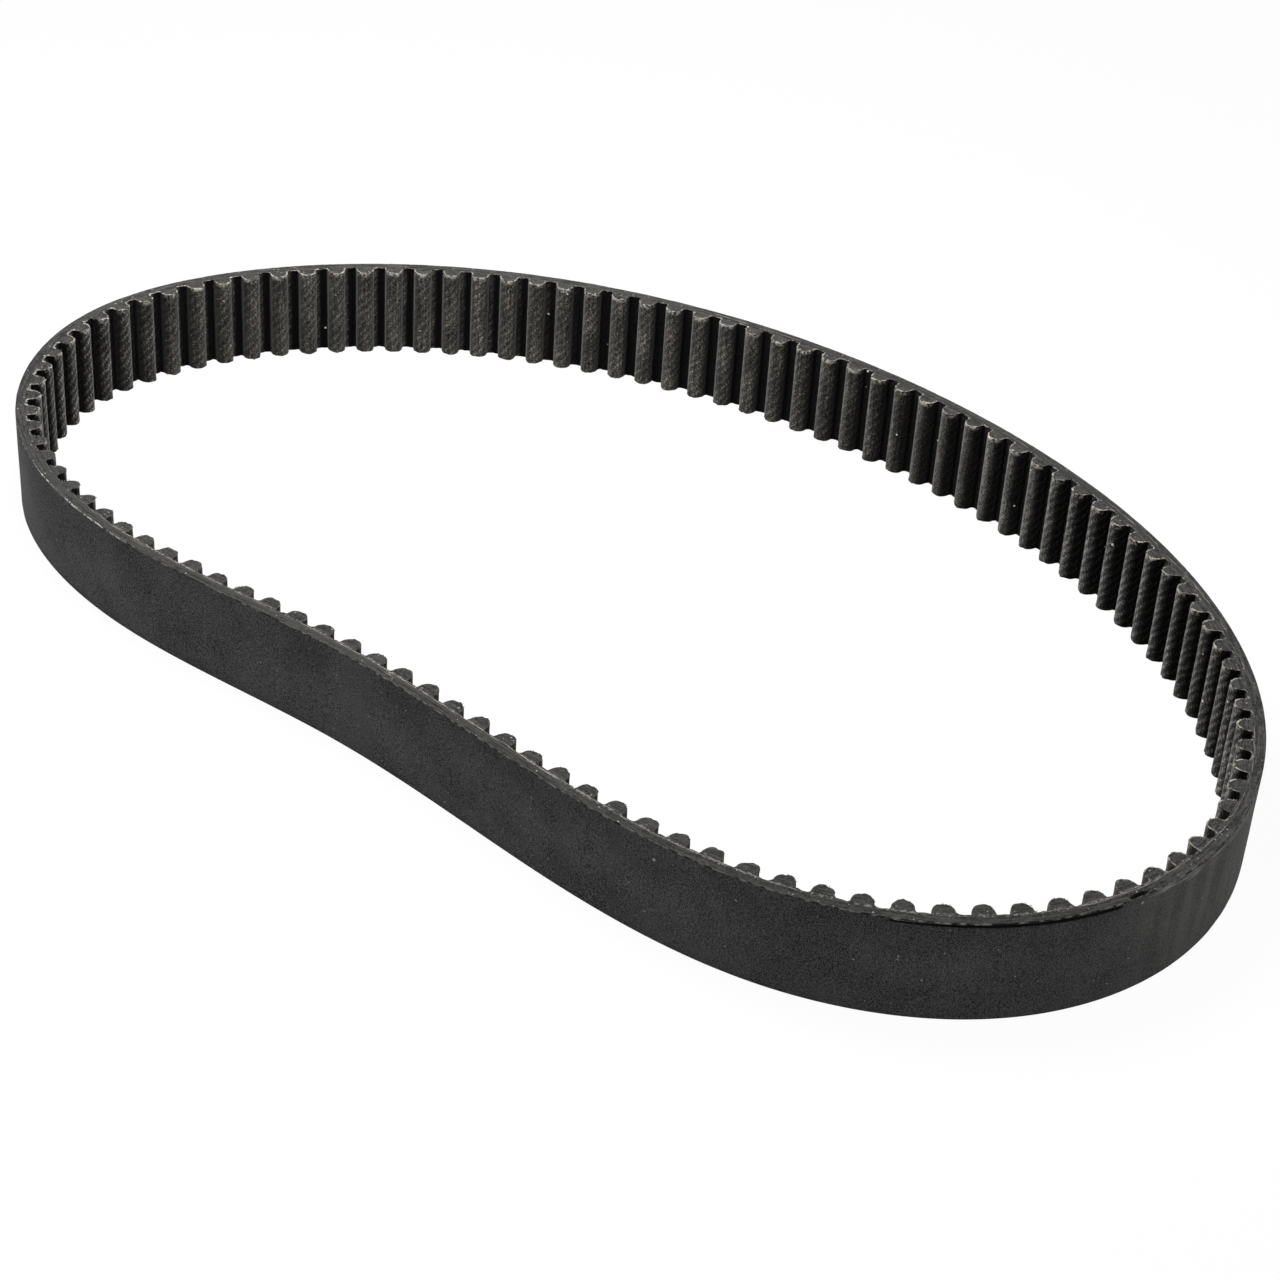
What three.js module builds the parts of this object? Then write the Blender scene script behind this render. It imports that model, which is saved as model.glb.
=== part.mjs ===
// An endless timing belt, standing on one cut edge and sprung into a soft kidney-shaped loop.
// Millimetres, +Z up. The origin is at the middle of the floor that the belt's outline covers.
//
// The belt is a bonded stack. From the back to the teeth it has the backing rubber, two tensile
// cords wound side by side, the tooth rubber and the facing fabric. The stack is moulded as a wide
// sleeve and sliced to width, so both edges are flat cuts through all of its layers.
import * as THREE from 'three';

// Driving dimensions
const TEETH = 108;
const TOOTH_PITCH = 5;
const BELT_WIDTH = 15;
const BACKING_THICKNESS = 0.85;
const CORD_DIAMETER = 0.6;
const CUSHION_THICKNESS = 0.0715;
const FACING_THICKNESS = 0.2;

// One tooth, seen from the cut edge, and the flat land between two teeth. Heights are over the land.
const LAND_WIDTH = 1.5;
const TOOTH_HEIGHT = 2.08;
const TOOTH_FLANK_WIDTH = 2.6;
const TOOTH_FLANK_HEIGHT = 1.45;
const TOOTH_CROWN_WIDTH = 1.1;

// The two cords climb side by side, each by its lead in one turn, from a margin at the lower edge
const CORD_LEAD = 2.4;
const CORD_EDGE_MARGIN = 0.5;

// The loop's lay: the corners of a closed cubic spline, as shares of the belt's length.
// It goes along the side that sags in at its middle, round the right end, back along the long
// outer side and round the left end.
const LAY_CORNER_SHARES = [
  [-0.158, -0.1], [-0.085, -0.118], [-0.008, -0.105], [0.069, -0.114], [0.134, -0.111],
  [0.183, -0.078], [0.199, -0.022], [0.175, 0.039], [0.118, 0.087], [0.041, 0.113],
  [-0.047, 0.114], [-0.129, 0.084], [-0.184, 0.028], [-0.202, -0.039],
];
const LAY_SAMPLES_PER_CORNER = 60;
const FIRST_LAND_SHARE = 0.79;

// Distances from the cords' centre line, positive towards the inside of the loop
const CORD_TO_BACK = -(CORD_DIAMETER / 2 + BACKING_THICKNESS);
const CORD_TO_BACKING_FACE = -CORD_DIAMETER / 2;
const CORD_TO_CUSHION_FACE = CORD_DIAMETER / 2;
const CORD_TO_LAND = CORD_TO_CUSHION_FACE + CUSHION_THICKNESS + FACING_THICKNESS;

// A point of the closed cubic spline, turn from 0 to 1 once round the loop
function layPoint(turn) {
  const count = LAY_CORNER_SHARES.length;
  const place = turn * count;
  const first = Math.floor(place);
  const t = place - first;
  const weights = [
    (1 - t) ** 3 / 6,
    (3 * t ** 3 - 6 * t ** 2 + 4) / 6,
    (-3 * t ** 3 + 3 * t ** 2 + 3 * t + 1) / 6,
    t ** 3 / 6,
  ];
  const point = new THREE.Vector2();
  weights.forEach((weight, i) => {
    const [x, y] = LAY_CORNER_SHARES[(first + i - 1 + count) % count];
    point.x += weight * x;
    point.y += weight * y;
  });
  return point;
}

// The middle of each land, on the cords' centre line: the belt is stiff along a tooth and bends at
// the thin lands, so the centre line is a polygon with one straight side of one pitch to a tooth.
function landCentres() {
  const samples = LAY_CORNER_SHARES.length * LAY_SAMPLES_PER_CORNER;
  const points = [];
  for (let i = 0; i <= samples; i += 1) points.push(layPoint(i / samples));
  const run = [0];
  for (let i = 1; i <= samples; i += 1) run.push(run[i - 1] + points[i].distanceTo(points[i - 1]));
  const whole = run[samples];
  const lands = [];
  let at = 0;
  for (let tooth = 0; tooth < TEETH; tooth += 1) {
    const distance = (whole * (tooth + FIRST_LAND_SHARE)) / TEETH;
    while (run[at + 1] < distance) at += 1;
    const between = (distance - run[at]) / (run[at + 1] - run[at]);
    lands.push(points[at].clone().lerp(points[at + 1], between));
  }
  let sides = 0;
  for (let i = 0; i < TEETH; i += 1) sides += lands[i].distanceTo(lands[(i + 1) % TEETH]);
  for (const land of lands) land.multiplyScalar((TEETH * TOOTH_PITCH) / sides);
  return lands;
}

// Direction along the belt at each side of the polygon, and the normal towards the loop's inside
function toothFrames(lands) {
  return lands.map((land, i) => {
    const next = lands[(i + 1) % TEETH];
    const along = next.clone().sub(land).normalize();
    const inward = new THREE.Vector2(-along.y, along.x);
    return { along, inward, middle: land.clone().lerp(next, 1 / 2) };
  });
}

// A line that runs at one distance from the centre line, with one corner at each land
function offsetLine(lands, frames, distance) {
  return lands.map((land, i) => {
    const before = frames[(i - 1 + TEETH) % TEETH].inward;
    const mitre = before.clone().add(frames[i].inward);
    mitre.multiplyScalar(2 / mitre.lengthSq());
    return land.clone().addScaledVector(mitre, distance);
  });
}

// The tooth's outline over the lands, from root to root, as [along the belt, height] pairs,
// with the middles of the lands at both ends
function toothOutline() {
  const half = [
    [TOOTH_PITCH / 2, 0],
    [(TOOTH_PITCH - LAND_WIDTH) / 2, 0],
    [TOOTH_FLANK_WIDTH / 2, TOOTH_FLANK_HEIGHT],
    [TOOTH_CROWN_WIDTH / 2, TOOTH_HEIGHT],
  ];
  const left = half.map(([x, height]) => new THREE.Vector2(-x, height));
  const right = half.map(([x, height]) => new THREE.Vector2(x, height)).reverse();
  return [...left, ...right];
}

// The same outline sunk into the tooth by a thickness, every face moved square to itself
function sunkOutline(outline, thickness) {
  return outline.slice(1, -1).map((point, i) => {
    const before = point.clone().sub(outline[i]).normalize();
    const after = outline[i + 2].clone().sub(point).normalize();
    const mitre = new THREE.Vector2(before.y + after.y, -before.x - after.x);
    mitre.multiplyScalar(2 / mitre.lengthSq());
    return point.clone().addScaledVector(mitre, thickness);
  });
}

// A tooth outline repeated round the loop, its lands at the facing's surface
function toothedLine(frames, outline) {
  return frames.flatMap(({ along, inward, middle }) =>
    outline.map((point) =>
      middle
        .clone()
        .addScaledVector(along, point.x)
        .addScaledVector(inward, CORD_TO_LAND + point.y)));
}

// A layer between two closed lines, standing on the floor over the whole width of the belt
function layer(outside, inside) {
  const shape = new THREE.Shape(outside);
  shape.holes.push(new THREE.Path(inside));
  return new THREE.ExtrudeGeometry(shape, { depth: BELT_WIDTH, bevelEnabled: false, steps: 1 });
}

// One cord, an unbroken winding with a square section, climbing from its first height
function windingGeometry(backingFace, cushionFace, turns, firstHeight) {
  const steps = turns * TEETH;
  const radius = CORD_DIAMETER / 2;
  const heights = [];
  const positions = [];
  for (let i = 0; i <= steps; i += 1) {
    const outer = backingFace[i % TEETH];
    const inner = cushionFace[i % TEETH];
    const height = firstHeight + (CORD_LEAD * i) / TEETH;
    positions.push(outer.x, outer.y, height - radius, inner.x, inner.y, height - radius);
    positions.push(inner.x, inner.y, height + radius, outer.x, outer.y, height + radius);
    heights.push(height);
  }
  const corners = 4;
  const triangles = [];
  for (let i = 0; i < steps; i += 1) {
    for (let side = 0; side < corners; side += 1) {
      const a = i * corners + side;
      const b = i * corners + ((side + 1) % corners);
      triangles.push(a, b, a + corners, b, b + corners, a + corners);
    }
  }
  const last = steps * corners;
  triangles.push(0, 2, 1, 0, 3, 2);
  triangles.push(last, last + 1, last + 2, last, last + 2, last + 3);
  const geometry = new THREE.BufferGeometry();
  geometry.setAttribute('position', new THREE.Float32BufferAttribute(positions, 3));
  geometry.setIndex(triangles);
  geometry.computeVertexNormals();
  const gaps = heights.slice(TEETH).map((height, i) => height - heights[i] - CORD_DIAMETER);
  console.log('Least gap of the cord to its own next turn, mm', Math.min(...gaps).toFixed(2));
  return geometry;
}

// The finish of each material
const BACKING_RUBBER = { color: 0x2d2d2e, roughness: 0.82, metalness: 0 };
const TOOTH_RUBBER = { color: 0x262627, roughness: 0.85, metalness: 0 };
const FACING_NYLON = { color: 0x4a4643, roughness: 0.95, metalness: 0 };
const GLASS_CORD = { color: 0xcfc6ae, roughness: 0.6, metalness: 0 };

function piece(name, geometry, finish) {
  const mesh = new THREE.Mesh(geometry, new THREE.MeshStandardMaterial(finish));
  mesh.name = name;
  return mesh;
}

// The lines that the layers share, moved so that the back's outline is centred on the origin
const lands = landCentres();
const box = new THREE.Box2().setFromPoints(offsetLine(lands, toothFrames(lands), CORD_TO_BACK));
const centre = box.getCenter(new THREE.Vector2());
for (const land of lands) land.sub(centre);
const frames = toothFrames(lands);
const back = offsetLine(lands, frames, CORD_TO_BACK);
const backingFace = offsetLine(lands, frames, CORD_TO_BACKING_FACE);
const cushionFace = offsetLine(lands, frames, CORD_TO_CUSHION_FACE);
const surfaceOutline = toothOutline();
const facingSurface = toothedLine(frames, surfaceOutline.slice(1, -1));
const facingBase = toothedLine(frames, sunkOutline(surfaceOutline, FACING_THICKNESS));

// As many whole turns as the width holds, with the second cord half a lead above the first
const windingRoom = BELT_WIDTH - 2 * CORD_EDGE_MARGIN - CORD_DIAMETER;
const cordTurns = Math.floor(windingRoom / CORD_LEAD - 1 / 2);
const firstHeight = CORD_EDGE_MARGIN + CORD_DIAMETER / 2;
const secondHeight = firstHeight + CORD_LEAD / 2;
const winding = (height) => windingGeometry(backingFace, cushionFace, cordTurns, height);

const belt = new THREE.Group();
belt.add(
  piece('backing_rubber', layer(back, backingFace), BACKING_RUBBER),
  piece('s_twist_cord', winding(firstHeight), GLASS_CORD),
  piece('z_twist_cord', winding(secondHeight), GLASS_CORD),
  piece('tooth_rubber', layer(cushionFace, facingBase), TOOTH_RUBBER),
  piece('facing_fabric', layer(facingBase, facingSurface), FACING_NYLON),
);

export default belt;
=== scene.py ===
import math

import bpy
import numpy as np
from mathutils import Matrix, Vector


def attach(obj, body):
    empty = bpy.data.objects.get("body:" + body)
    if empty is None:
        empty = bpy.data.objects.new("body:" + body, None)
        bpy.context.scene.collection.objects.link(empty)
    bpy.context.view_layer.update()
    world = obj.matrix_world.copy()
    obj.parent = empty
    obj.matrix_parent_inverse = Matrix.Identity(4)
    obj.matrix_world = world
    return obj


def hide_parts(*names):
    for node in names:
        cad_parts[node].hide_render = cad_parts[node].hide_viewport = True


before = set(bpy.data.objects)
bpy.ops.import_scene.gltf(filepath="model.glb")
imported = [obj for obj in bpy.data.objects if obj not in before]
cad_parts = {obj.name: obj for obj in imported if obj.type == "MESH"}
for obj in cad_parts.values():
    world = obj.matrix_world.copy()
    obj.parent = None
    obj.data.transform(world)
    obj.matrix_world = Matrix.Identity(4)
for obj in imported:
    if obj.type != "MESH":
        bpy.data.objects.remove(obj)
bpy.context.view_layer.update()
MM = 0.001

# Camera. It looks down on the loop from the front and the right, where the photograph was taken from,
# through a long lens. The shift puts the loop a little right of the middle and up, as it is there.
CAMERA_PLACE = Vector((222.05, -273.84, 219.16)) * MM
CAMERA_AZIMUTH = math.radians(39.92)
CAMERA_ELEVATION = math.radians(33.37)
CAMERA_ROLL = math.radians(3.44)
CAMERA_LENS = 77.15
CAMERA_SHIFT = (0.0316, 0.0173)
CAMERA_REACH = (10 * MM, 5)


def camera_axes(azimuth, elevation, roll):
    ahead = Vector((-math.sin(azimuth) * math.cos(elevation),
                    math.cos(azimuth) * math.cos(elevation), -math.sin(elevation)))
    level = Vector((math.cos(azimuth), math.sin(azimuth), 0))
    upward = level.cross(ahead)
    right = level * math.cos(roll) + upward * math.sin(roll)
    up = upward * math.cos(roll) - level * math.sin(roll)
    return Matrix((right, up, -ahead)).transposed()


camera = bpy.data.objects.new("camera", bpy.data.cameras.new("camera"))
camera.data.lens = CAMERA_LENS
camera.data.shift_x, camera.data.shift_y = CAMERA_SHIFT
camera.data.clip_start, camera.data.clip_end = CAMERA_REACH
axes = camera_axes(CAMERA_AZIMUTH, CAMERA_ELEVATION, CAMERA_ROLL)
camera.matrix_world = Matrix.Translation(CAMERA_PLACE) @ axes.to_4x4()
bpy.context.scene.collection.objects.link(camera)
bpy.context.scene.camera = camera

# Floor and light. A wide pale floor runs out to a white surround. The main lamp is small and hangs low over
# the left half of the loop, so that the teeth are lit from above. Two larger lamps stand far off, at the
# front and the right, and light the back.
FLOOR_SIDE = 3.0
FLOOR_COLOR = (0.8, 0.8, 0.8, 1)
FLOOR_LIFT = 0.965
SURROUND_LIGHT = 0.04
WHITE = (1, 1, 1, 1)
LAMPS = {
    "overhead": {"at": (-0.07, -0.015, 0.27), "aim": (-0.06, 0, 0), "size": 0.14, "power": 1.5},
    "front": {"at": (0, -0.85, 0.35), "aim": (0, 0, 0), "size": 0.5, "power": 2.0},
    "right": {"at": (0.85, -0.05, 0.25), "aim": (0, 0, 0), "size": 0.4, "power": 2.2},
}


def add(tree, kind, inputs=(), **settings):
    """One shader node. Inputs are (socket, value or the output that feeds it) pairs."""
    made = tree.nodes.new("ShaderNode" + kind)
    for name, value in settings.items():
        setattr(made, name, value)
    for socket, value in inputs:
        if isinstance(value, bpy.types.NodeSocket):
            tree.links.new(value, made.inputs[socket])
        else:
            made.inputs[socket].default_value = value
    return made


def maths(tree, operation, *values):
    return add(tree, "Math", list(enumerate(values)), operation=operation).outputs[0]


def product(tree, first, *others):
    for value in others:
        first = maths(tree, "MULTIPLY", first, value)
    return first


def empty_tree(owner):
    owner.use_nodes = True
    owner.node_tree.nodes.clear()
    return owner.node_tree


def straight_to_eye(tree):
    """One for what the camera sees by itself or in a reflection, nought for what only gives light."""
    path = add(tree, "LightPath")
    seen = path.outputs["Is Camera Ray"]
    for kind in ("Is Glossy Ray", "Is Transmission Ray"):
        seen = maths(tree, "MAXIMUM", seen, path.outputs[kind])
    return seen


def floor_material():
    made = bpy.data.materials.new("pale_floor")
    tree = empty_tree(made)
    plain = add(tree, "BsdfDiffuse", [("Color", FLOOR_COLOR)])
    bright = add(tree, "Emission", [("Color", WHITE), ("Strength", 1.0)])
    share = product(tree, straight_to_eye(tree), FLOOR_LIFT)
    mixed = add(tree, "MixShader", [(0, share), (1, plain.outputs[0]), (2, bright.outputs[0])])
    add(tree, "OutputMaterial", [("Surface", mixed.outputs[0])])
    return made


def floor():
    half = FLOOR_SIDE / 2
    corners = [(-half, -half, 0), (half, -half, 0), (half, half, 0), (-half, half, 0)]
    mesh = bpy.data.meshes.new("floor")
    mesh.from_pydata(corners, [], [(0, 1, 2, 3)])
    made = bpy.data.objects.new("floor", mesh)
    made.data.materials.append(floor_material())
    bpy.context.scene.collection.objects.link(made)


def surround():
    world = bpy.data.worlds.new("white_surround")
    bpy.context.scene.world = world
    tree = empty_tree(world)
    seen = straight_to_eye(tree)
    strength = add(tree, "MapRange", [("Value", seen), ("To Min", SURROUND_LIGHT), ("To Max", 1.0)])
    light = add(tree, "Background", [("Color", WHITE), ("Strength", strength.outputs[0])])
    add(tree, "OutputWorld", [("Surface", light.outputs[0])])


def lamp(name, at, aim, size, power):
    light = bpy.data.lights.new(name, "AREA")
    light.size = size
    light.energy = power
    made = bpy.data.objects.new(name, light)
    made.matrix_world = (Vector(aim) - Vector(at)).to_track_quat("-Z", "Y").to_matrix().to_4x4()
    made.matrix_world.translation = Vector(at)
    bpy.context.scene.collection.objects.link(made)


floor()
surround()
for lamp_name, facts in LAMPS.items():
    lamp(lamp_name, **facts)
bpy.context.scene.view_settings.view_transform = "Standard"

# Facing fabric. A stretch weave of black nylon, 0.2 mm thick, is the first thing on the mould and takes the
# shape of every tooth and land. It is worn brown-grey with dust on the crowns, and its cut edge frays. Its
# grooves and one flank of each tooth are painted dark as shade, and painted light lies on some lands and
# flanks.
TEETH = 108
PITCH = 5 * MM
LENGTH = TEETH * PITCH
WIDTH = 15 * MM
CORD_DIAMETER = 0.6 * MM
BACKING_THICKNESS = 0.85 * MM
CUSHION_THICKNESS = 0.0715 * MM
FACING_THICKNESS = 0.2 * MM
CORD_TO_LAND = CORD_DIAMETER / 2 + CUSHION_THICKNESS + FACING_THICKNESS
TOOTH_HEIGHT = 2.08 * MM
CROWN_RADIUS = 1.49 * MM
ROOT_RADIUS = 0.43 * MM
ROOT_POINTS = 4
CROWN_POINTS = 13
CROWN_UNEVEN = [(9, 0.08 * MM, 0.9 * MM)]
TOOTH_LEAN = [(10, 0.06 * MM, 3.5 * MM)]
FACING_ROWS = np.array([0, 0.06, 0.18, 0.4, 0.8, 1.5, 2.6, 4, 5.6, 7.4, 9.2, 10.9, 12.3, 13.4, 14.2,
                        14.6, 14.82, 14.94, 15]) * MM
BEHIND_ROWS = np.array([0, 5, 10, 15]) * MM
THREAD = 0.4 * MM
TWILL_REPEAT = 4 * THREAD
PUCKERS = [(11, 0.03 * MM, 1.7 * MM), (12, 0.02 * MM, 0.6 * MM)]
EDGE_PUCKERS = [(15, 0.15 * MM, 0.5 * MM)]
FRAY = [(13, 0.08 * MM, 0.35 * MM), (14, 0.06 * MM, 1.1 * MM)]
FRAY_REACH = 0.25 * MM
LOWEST_FRAY = -0.02 * MM
NOISE_ROWS = 400
SHARP_ANGLE = math.radians(40)


def lands_of(node):
    """The middles of the lands on the cords' centre line, counter-clockwise from the left end: the solid's
    corners come in pairs, one on the back and one where the backing meets the cords."""
    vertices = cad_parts[node].data.vertices
    corners = np.array(sorted({(round(v.co.x, 7), round(v.co.y, 7)) for v in vertices}))
    apart = np.linalg.norm(corners[:, None] - corners[None], axis=2)
    np.fill_diagonal(apart, np.inf)
    mates = corners[apart.argmin(axis=1)]
    on_back = np.hypot(*corners.T) > np.hypot(*mates.T)
    back, face = corners[on_back], mates[on_back]
    lands = face + (face - back) * (CORD_DIAMETER / 2 / BACKING_THICKNESS)
    return lands[np.argsort(np.arctan2(lands[:, 1], lands[:, 0]))]


LANDS = lands_of("backing_rubber")


def lay(along):
    """Places on the cords' centre line and the directions to the loop's inside, at distances along it. The
    line is a smooth curve through the middles of the lands."""
    place = np.asarray(along) / PITCH
    first = np.floor(place).astype(int)
    t = (place - first)[..., None]
    a, b, c, d = (LANDS[(first + step) % TEETH] for step in (-1, 0, 1, 2))
    square, cube = 2 * a - 5 * b + 4 * c - d, 3 * b - a - 3 * c + d
    point = (2 * b + (c - a) * t + square * t ** 2 + cube * t ** 3) / 2
    slope = (c - a + 2 * square * t + 3 * cube * t ** 2) / 2
    slope /= np.linalg.norm(slope, axis=-1, keepdims=True)
    return point, np.stack([-slope[..., 1], slope[..., 0]], -1)


def in_place(along, inside, height):
    """Points in the frame from distances along the belt, inside the cord line and over the floor."""
    along, inside, height = np.broadcast_arrays(along, inside, height)
    point, inward = lay(along)
    return np.concatenate([point + inward * inside[..., None], height[..., None]], -1)


def one_roughness(seed, along, across, size):
    """Smooth noise from -1 to 1 over the unrolled belt. It closes on itself round the loop."""
    columns = round(LENGTH / size)
    table = np.random.default_rng(seed).uniform(-1, 1, (columns, NOISE_ROWS))
    u = np.asarray(along) / LENGTH * columns
    v = np.asarray(across) / size + NOISE_ROWS / 4
    i, j = np.floor(u).astype(int), np.floor(v).astype(int)
    s, t = u - i, v - j
    s, t = s * s * (3 - 2 * s), t * t * (3 - 2 * t)
    i, after = i % columns, (i + 1) % columns
    j, above = j % NOISE_ROWS, (j + 1) % NOISE_ROWS
    low = table[i, j] * (1 - s) + table[after, j] * s
    high = table[i, above] * (1 - s) + table[after, above] * s
    return low * (1 - t) + high * t


def rough(kinds, along, across):
    """The sum of several kinds of noise, told as (seed, depth, size) each."""
    return sum(depth * one_roughness(seed, along, across, size) for seed, depth, size in kinds)


def tooth_outline():
    """One pitch of the toothed face, from land to land, as distances along the belt and heights over the
    land: a crown of one radius, a fillet at each root and half a land at each end."""
    crown_centre = TOOTH_HEIGHT - CROWN_RADIUS
    foot = math.sqrt((CROWN_RADIUS + ROOT_RADIUS) ** 2 - (crown_centre - ROOT_RADIUS) ** 2)
    dip = math.asin((crown_centre - ROOT_RADIUS) / (CROWN_RADIUS + ROOT_RADIUS))
    points = [(-PITCH / 2, 0)]
    for k in range(ROOT_POINTS):
        turn = -math.pi / 2 + (math.pi / 2 - dip) * k / ROOT_POINTS
        points.append((ROOT_RADIUS * math.cos(turn) - foot, ROOT_RADIUS * (1 + math.sin(turn))))
    for k in range(CROWN_POINTS):
        turn = math.pi + dip - (math.pi + 2 * dip) * k / (CROWN_POINTS - 1)
        points.append((CROWN_RADIUS * math.cos(turn), crown_centre + CROWN_RADIUS * math.sin(turn)))
    points += [(-x, y) for x, y in reversed(points[1:ROOT_POINTS + 1])]
    return np.array(points)


def sunk(outline, depth):
    """The outline moved into the tooth by a depth, square to itself."""
    closed = np.vstack([outline[-1] - (PITCH, 0), outline, outline[0] + (PITCH, 0)])
    slope = closed[2:] - closed[:-2]
    slope /= np.linalg.norm(slope, axis=1, keepdims=True)
    return outline + np.stack([slope[:, 1], -slope[:, 0]], 1) * depth


OUTLINE = tooth_outline()
SUNK_OUTLINE = sunk(OUTLINE, FACING_THICKNESS)
TOOTH_MIDDLES = (np.arange(TEETH) + 0.5) * PITCH
ONE_PITCH = np.vstack([OUTLINE, OUTLINE[0] + (PITCH, 0)])
FACE_LENGTH = np.hypot(*np.diff(ONE_PITCH, axis=0).T).sum() * TEETH
WRAP = round(FACE_LENGTH / TWILL_REPEAT) * TWILL_REPEAT


def round_the_loop(outline):
    """Distances along the belt and inside the cord line, for an outline repeated on every tooth. No two
    teeth come out of the mould quite alike."""
    share = np.tile(outline[:, 1], TEETH) / TOOTH_HEIGHT
    along = (TOOTH_MIDDLES[:, None] + outline[None, :, 0]).ravel()
    inside = share * TOOTH_HEIGHT + CORD_TO_LAND + share * rough(CROWN_UNEVEN, along, 0)
    return along + share * rough(TOOTH_LEAN, along, 0), inside


def ring_mesh(name, points, belt, wrap, finishes):
    """A closed ring of quads. points holds one closed section for each column round the loop, and belt
    holds each point's place on the unrolled belt, which grows by wrap where the ring closes. finishes
    holds the number of the material for each place round the section."""
    columns, corners = points.shape[:2]
    c, k = np.meshgrid(np.arange(columns), np.arange(corners), indexing="ij")
    here, ahead, k_next = c * corners, (c + 1) % columns * corners, (k + 1) % corners
    quads = np.stack([here + k, ahead + k, ahead + k_next, here + k_next], -1).reshape(-1, 4)
    mesh = bpy.data.meshes.new(name)
    mesh.from_pydata(points.reshape(-1, 3).tolist(), [], quads.tolist())
    values = belt.reshape(-1, 3)[quads]
    values[(c == columns - 1).ravel(), 1:3, 0] += wrap
    mesh.attributes.new("belt", "FLOAT_VECTOR", "CORNER").data.foreach_set("vector", values.ravel())
    mesh.polygons.foreach_set("use_smooth", np.ones(len(quads), bool))
    mesh.polygons.foreach_set("material_index", np.tile(finishes, columns).astype(np.int32))
    mesh.set_sharp_from_angle(angle=SHARP_ANGLE)
    mesh.update()
    return mesh


def dress(name, mesh, materials, slot, *nodes):
    """Makes a piece of the belt, which stands for its solids if it has any."""
    made = bpy.data.objects.new(name, mesh)
    for material in materials:
        mesh.materials.append(material)
    bpy.context.scene.collection.objects.link(made)
    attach(made, "root")
    if nodes:
        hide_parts(*nodes)


def facing_mesh():
    along, inside = round_the_loop(OUTLINE)
    behind_along, behind_inside = round_the_loop(SUNK_OUTLINE)
    steps = np.hypot(np.diff(along, append=along[0] + LENGTH), np.diff(inside, append=inside[0]))
    path = np.concatenate([[0], np.cumsum(steps)[:-1]]) * (WRAP / steps.sum())
    along, inside, rows = along[:, None], inside[:, None], FACING_ROWS[None]
    near_edge = np.exp(-np.minimum(rows, WIDTH - rows) / FRAY_REACH)
    puckers = rough(PUCKERS, along, rows) + near_edge * rough(EDGE_PUCKERS, along, rows)
    heights = np.maximum(rows + rough(FRAY, along, 0) * near_edge, LOWEST_FRAY)
    front = in_place(along, inside + puckers, heights)[:, ::-1]
    behind = in_place(behind_along[:, None], behind_inside[:, None], BEHIND_ROWS[None])
    points = np.concatenate([behind, front], 1)
    belt = np.zeros_like(points)
    belt[..., 0] = path[:, None]
    belt[..., 1] = inside
    belt[..., 2] = points[..., 2]
    finishes = np.zeros(points.shape[1])
    finishes[[len(BEHIND_ROWS) - 1, -1]] = 1
    return ring_mesh("nylon_facing", points, belt, WRAP, finishes)


SMALLEST_SPECK = 0.4
GRAIN_PARTS = [(1.0, 0.85), (0.33, 0.15)]
YARN_ROUNDNESS = 0.6
SHEEN_SPREAD = 0.45
SAGGING_TEETH = (16, 19), (52, 58)


def effect(name, inputs, output):
    """A shader group with named inputs, as (name, kind) pairs, and one named output."""
    tree = bpy.data.node_groups.new(name, "ShaderNodeTree")
    for socket, kind in inputs:
        tree.interface.new_socket(socket, in_out="INPUT", socket_type="NodeSocket" + kind)
    tree.interface.new_socket(output, in_out="OUTPUT", socket_type="NodeSocketFloat")
    return tree, tree.nodes.new("NodeGroupInput").outputs, tree.nodes.new("NodeGroupOutput").inputs[0]


def use(tree, group, inputs):
    return add(tree, "Group", inputs, node_tree=group).outputs[0]


def ramp(tree, value, low, high, to_low=0.0, to_high=1.0):
    """A smooth step from to_low to to_high as the value goes from low to high."""
    limits = [("From Min", low), ("From Max", high), ("To Min", to_low), ("To Max", to_high)]
    return add(tree, "MapRange", [("Value", value), *limits], interpolation_type="SMOOTHSTEP").outputs[0]


def band(tree, value, rise, fall):
    """One between two limits. It grows over the pair rise and fades over the pair fall."""
    return product(tree, ramp(tree, value, *rise), ramp(tree, value, *fall, to_low=1.0, to_high=0.0))


def outside(tree, value, rise, fall):
    """One up to the pair fall and again from the pair rise on, and nought between them."""
    return maths(tree, "ADD", ramp(tree, value, *rise), ramp(tree, value, *fall, to_low=1.0, to_high=0.0))


def noise(tree, place, size, detail=2.0, seed=0.0):
    """Noise from 0 to 1 whose patches are about one size across."""
    moved = add(tree, "VectorMath", [(0, place), (1, (seed, seed, seed))], operation="ADD").outputs[0]
    return add(tree, "TexNoise", [("Vector", moved), ("Scale", 1 / size), ("Detail", detail)]).outputs[0]


def mix_colors(tree, share, first, second):
    return add(tree, "Mix", [(0, share), (6, first), (7, second)], data_type="RGBA").outputs[2]


def dust_effect():
    """Separate light specks: a speck in some cells of a scattered pattern."""
    inputs = [("Place", "Vector"), ("Spacing", "Float"), ("Size", "Float"), ("Share", "Float")]
    tree, given, mask = effect("dust_specks", inputs, "Mask")
    scale = maths(tree, "DIVIDE", 1.0, given["Spacing"])
    cells = add(tree, "TexVoronoi", [("Vector", given["Place"]), ("Scale", scale)])
    reach = product(tree, cells.outputs["Distance"], given["Spacing"])
    parts = add(tree, "SeparateColor", [(0, cells.outputs["Color"])])
    size = product(tree, given["Size"], maths(tree, "ADD", parts.outputs[1], SMALLEST_SPECK))
    chosen = maths(tree, "LESS_THAN", parts.outputs[0], given["Share"])
    tree.links.new(product(tree, maths(tree, "LESS_THAN", reach, size), chosen), mask)
    return tree


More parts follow.
